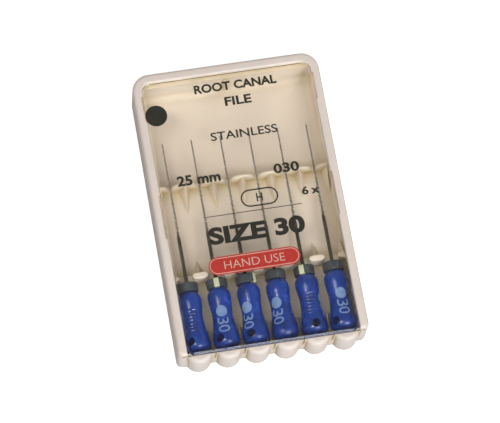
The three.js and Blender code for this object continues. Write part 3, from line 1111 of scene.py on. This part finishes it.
def add_camera():
    ground = Vector((math.sin(CAMERA_AZIMUTH), math.cos(CAMERA_AZIMUTH), 0))
    forward = ground * math.cos(CAMERA_ELEVATION) - Vector((0, 0, math.sin(CAMERA_ELEVATION)))
    level = forward.cross(Vector((0, 0, 1))).normalized()
    upright = level.cross(forward)
    right = level * math.cos(CAMERA_ROLL) - upright * math.sin(CAMERA_ROLL)
    up = upright * math.cos(CAMERA_ROLL) + level * math.sin(CAMERA_ROLL)
    data = bpy.data.cameras.new("camera")
    data.lens = CAMERA_LENS
    data.sensor_width = CAMERA_SENSOR
    data.clip_start = 0.01
    data.clip_end = 20
    camera = bpy.data.objects.new("camera", data)
    bpy.context.scene.collection.objects.link(camera)
    turn = Matrix((right, up, -forward)).transposed().to_4x4()
    camera.matrix_world = Matrix.Translation((CAMERA_TARGET - forward * CAMERA_DISTANCE) * MM) @ turn
    bpy.context.scene.camera = camera


def floor_material():
    """A pale matt table that looks white to the camera, and throws back only part of the light."""
    material = mottled(
        "floor", (0.86, 0.86, 0.855), (0.88, 0.88, 0.875), 0.7, cloud=3, grain=400, bump=0.02)
    tree = material.node_tree
    path = tree.nodes.new("ShaderNodeLightPath")
    seen = tree.nodes.new("ShaderNodeMath")
    seen.operation = "MAXIMUM"
    tree.links.new(path.outputs["Is Camera Ray"], seen.inputs[0])
    tree.links.new(path.outputs["Is Transmission Ray"], seen.inputs[1])
    glow = tree.nodes.new("ShaderNodeEmission")
    glow.inputs["Strength"].default_value = FLOOR_GLOW
    bright = tree.nodes.new("ShaderNodeAddShader")
    dull = tree.nodes.new("ShaderNodeBsdfDiffuse")
    dull.inputs["Color"].default_value = (FLOOR_BOUNCE, FLOOR_BOUNCE, FLOOR_BOUNCE, 1)
    mix = tree.nodes.new("ShaderNodeMixShader")
    tree.links.new(tree.nodes["Principled BSDF"].outputs["BSDF"], bright.inputs[0])
    tree.links.new(glow.outputs["Emission"], bright.inputs[1])
    tree.links.new(seen.outputs["Value"], mix.inputs["Fac"])
    tree.links.new(dull.outputs["BSDF"], mix.inputs[1])
    tree.links.new(bright.outputs["Shader"], mix.inputs[2])
    tree.links.new(mix.outputs["Shader"], tree.nodes["Material Output"].inputs["Surface"])
    return material


def add_floor():
    bm = bmesh.new()
    bmesh.ops.create_grid(bm, x_segments=1, y_segments=1, size=FLOOR_HALF_SIZE * MM)
    floor = finish_bmesh("floor", bm)
    floor.location.z = -FLOOR_GAP * MM
    floor.data.materials.append(floor_material())


def add_sun(name, direction, strength, angle, colour):
    """A light that shines on the origin from that direction, as wide as angle in degrees."""
    data = bpy.data.lights.new(name, "SUN")
    data.energy = strength
    data.angle = math.radians(angle)
    data.color = colour
    light = bpy.data.objects.new(name, data)
    bpy.context.scene.collection.objects.link(light)
    light.location = Vector(direction).normalized()
    light.rotation_euler = light.location.to_track_quat("Z", "Y").to_euler()


def add_lights():
    add_sun("key", (0.46, -0.7, 1), KEY_STRENGTH, 24, (0.985, 0.98, 1))
    add_sun("top", (-0.45, -0.1, 1), TOP_STRENGTH, 28, (1, 0.985, 0.96))
    add_sun("front", (0.1, -1, 0.42), FRONT_STRENGTH, 34, (0.86, 0.92, 1))


def add_world():
    """Soft light from all round, brighter towards the horizon and dimmer on the left."""
    world = bpy.data.worlds.new("studio")
    world.use_nodes = True
    tree = world.node_tree
    place = tree.nodes.new("ShaderNodeTexCoord")
    split = tree.nodes.new("ShaderNodeSeparateXYZ")
    height = tree.nodes.new("ShaderNodeMapRange")
    height.inputs["To Min"].default_value = WORLD_HORIZON
    height.inputs["To Max"].default_value = WORLD_ZENITH
    tree.links.new(place.outputs["Generated"], split.inputs["Vector"])
    tree.links.new(split.outputs["Z"], height.inputs["Value"])
    side = tree.nodes.new("ShaderNodeMapRange")
    side.inputs["From Min"].default_value = -0.8
    side.inputs["From Max"].default_value = 0
    side.inputs["To Min"].default_value = WORLD_LEFT_SHARE
    tree.links.new(split.outputs["X"], side.inputs["Value"])
    strength = tree.nodes.new("ShaderNodeMath")
    strength.operation = "MULTIPLY"
    tree.links.new(height.outputs["Result"], strength.inputs[0])
    tree.links.new(side.outputs["Result"], strength.inputs[1])
    background = tree.nodes["Background"]
    background.inputs["Color"].default_value = (1, 0.985, 0.97, 1)
    tree.links.new(strength.outputs["Value"], background.inputs["Strength"])
    bpy.context.scene.world = world


# ---------- everything ----------

add_camera()
add_floor()
add_lights()
add_world()
bpy.context.scene.view_settings.view_transform = "Standard"

ivory = ivory_plastic()
blue = blue_plastic()
bright_steel = steel()
silicone = grey_silicone()
black_ink = ink("black_ink", (0.022, 0.02, 0.015), (0.032, 0.029, 0.022))
red_ink = ink("red_ink", (0.42, 0.03, 0.022), (0.5, 0.045, 0.032))
light_ink = ink("light_ink", (0.6, 0.36, 0.29), (0.68, 0.43, 0.35))
handle_ink = ink("handle_ink", (0.15, 0.25, 0.5), (0.2, 0.31, 0.58))
stripe_ink = ink("stripe_ink", (0.56, 0.58, 0.41), (0.64, 0.66, 0.48))

build_tray(ivory)
# The cover's end gets a dark navy tint: painted reflection of the blue handles.
build_cover(
    clear_plastic("clear_plastic", (0.975, 0.965, 0.925), 0.03),
    clear_plastic("end_painted_reflection", (0.14, 0.17, 0.36), 0.2))
build_cover_print(black_ink, red_ink, light_ink)
for file_number in FILE_NUMBERS:
    build_handle(file_number, blue)
    build_handle_marks(file_number, handle_ink)
    build_shaft(file_number, bright_steel)
    build_stopper(file_number, silicone)
    build_stripe(file_number, stripe_ink)
